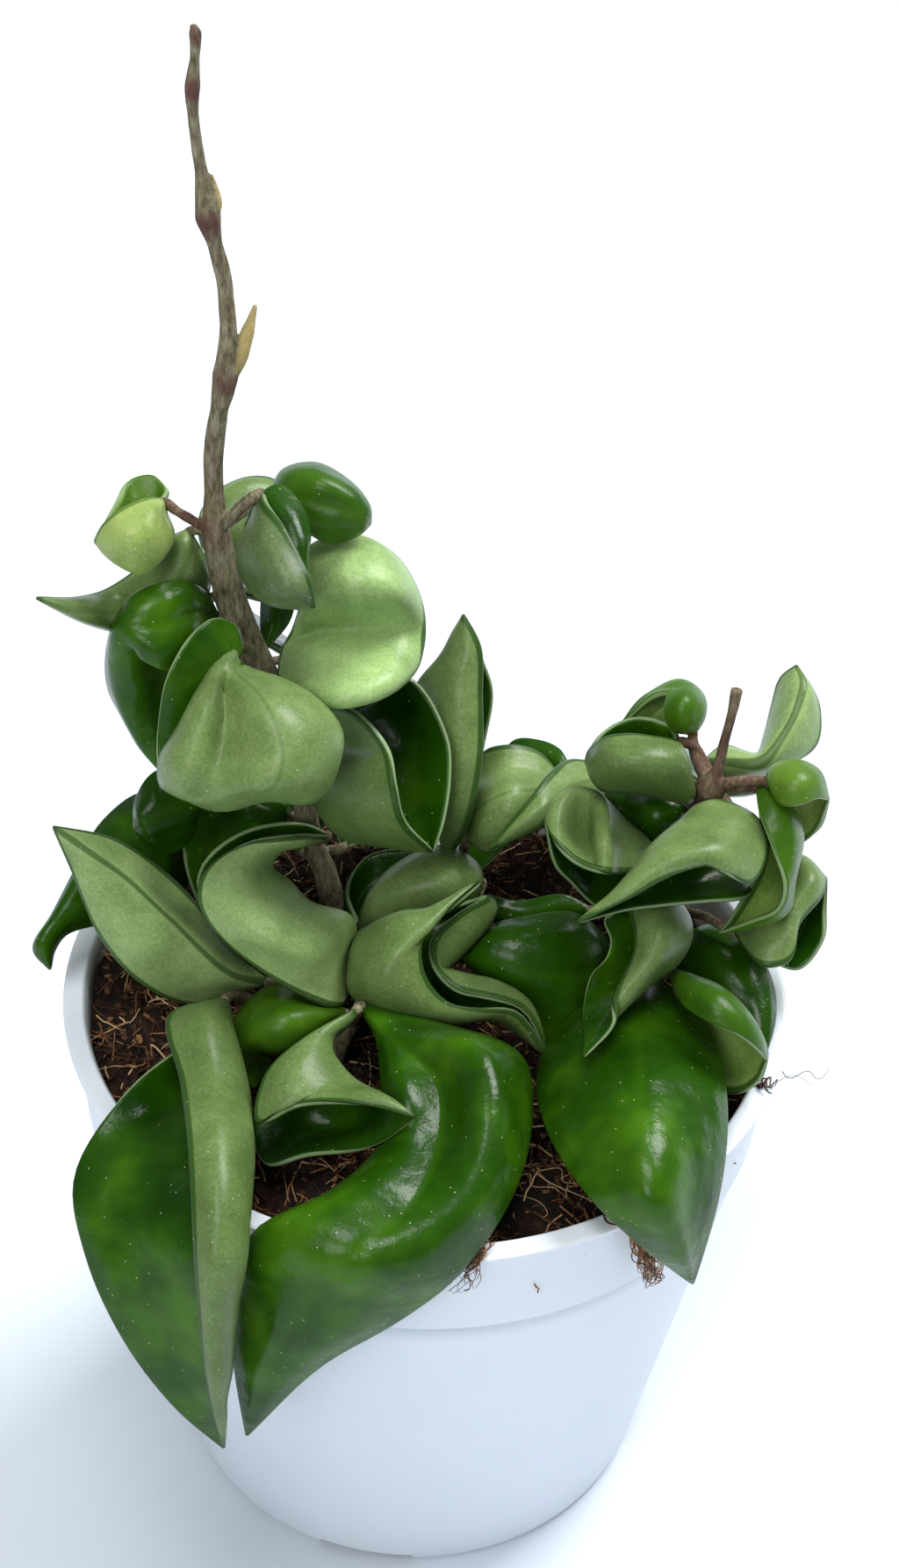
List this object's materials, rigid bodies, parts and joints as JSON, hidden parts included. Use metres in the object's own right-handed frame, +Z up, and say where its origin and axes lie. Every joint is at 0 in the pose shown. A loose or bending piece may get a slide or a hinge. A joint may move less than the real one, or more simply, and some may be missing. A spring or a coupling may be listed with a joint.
{
  "type": "hindu rope plant",
  "caption": "Potted rope plant: fleshy folded leaves on woody stems, one stem tall and bare at the top, in a tapered round pot with a rim",
  "frame": {"origin": "middle of the pot's underside, on the table", "axes": "+Z up along the pot's axis; -Y towards the side that the picture shows; +X to that side's right"},
  "size_m": [0.1296, 0.1311, 0.2598],
  "materials": {
    "pot_plastic": "smooth, slightly glossy white",
    "potting_mix": "dark peat and coir mix, rough",
    "bark": "dry grey brown bark",
    "leaf": "waxy, fleshy leaf, dark and glossy above, pale green beneath"
  },
  "bodies": {
    "root": {"pot": "pot_plastic", "soil": "potting_mix", "stem_tall": "bark", "stem_short": "bark", "stem_middle": "bark", "stem_front": "bark", "leaf_tall_crown_left": "leaf", "leaf_tall_long_tip": "leaf", "leaf_tall_ear": "leaf", "leaf_tall_pillow": "leaf", "leaf_tall_hook": "leaf", "leaf_tall_pointed": "leaf", "leaf_tall_curl_tip": "leaf", "leaf_tall_pale_rim": "leaf", "leaf_tall_pouch": "leaf", "leaf_tall_dome": "leaf", "leaf_tall_broad": "leaf", "leaf_tall_back": "leaf", "leaf_mid_cup": "leaf", "leaf_mid_upright": "leaf", "leaf_mid_right_cup": "leaf", "leaf_mid_pale_strip": "leaf", "leaf_mid_oval": "leaf", "leaf_mid_s_curl": "leaf", "leaf_front_curl": "leaf", "leaf_front_comma": "leaf", "leaf_front_bright": "leaf", "leaf_front_left": "leaf", "leaf_mid_dark": "leaf", "leaf_short_upright": "leaf", "leaf_short_top": "leaf", "leaf_short_pod": "leaf", "leaf_short_ripple": "leaf", "leaf_short_shell": "leaf", "leaf_short_twist": "leaf", "leaf_short_tail": "leaf", "leaf_short_strip": "leaf", "leaf_short_bud": "leaf", "leaf_short_cut": "leaf", "leaf_short_round": "leaf", "leaf_short_fold": "leaf", "leaf_front_right": "leaf", "leaf_tall_silver": "leaf", "leaf_tall_under": "leaf", "leaf_tall_sliver": "leaf", "leaf_mid_hidden": "leaf", "leaf_mid_low": "leaf", "leaf_rear_high": "leaf", "leaf_rear_left": "leaf", "leaf_rear_middle": "leaf", "leaf_rear_side": "leaf", "leaf_rear_low": "leaf", "leaf_rear_rim": "leaf", "leaf_rear_short": "leaf", "leaf_rear_right": "leaf", "leaf_rear_centre": "leaf"}
  },
  "joints": []
}
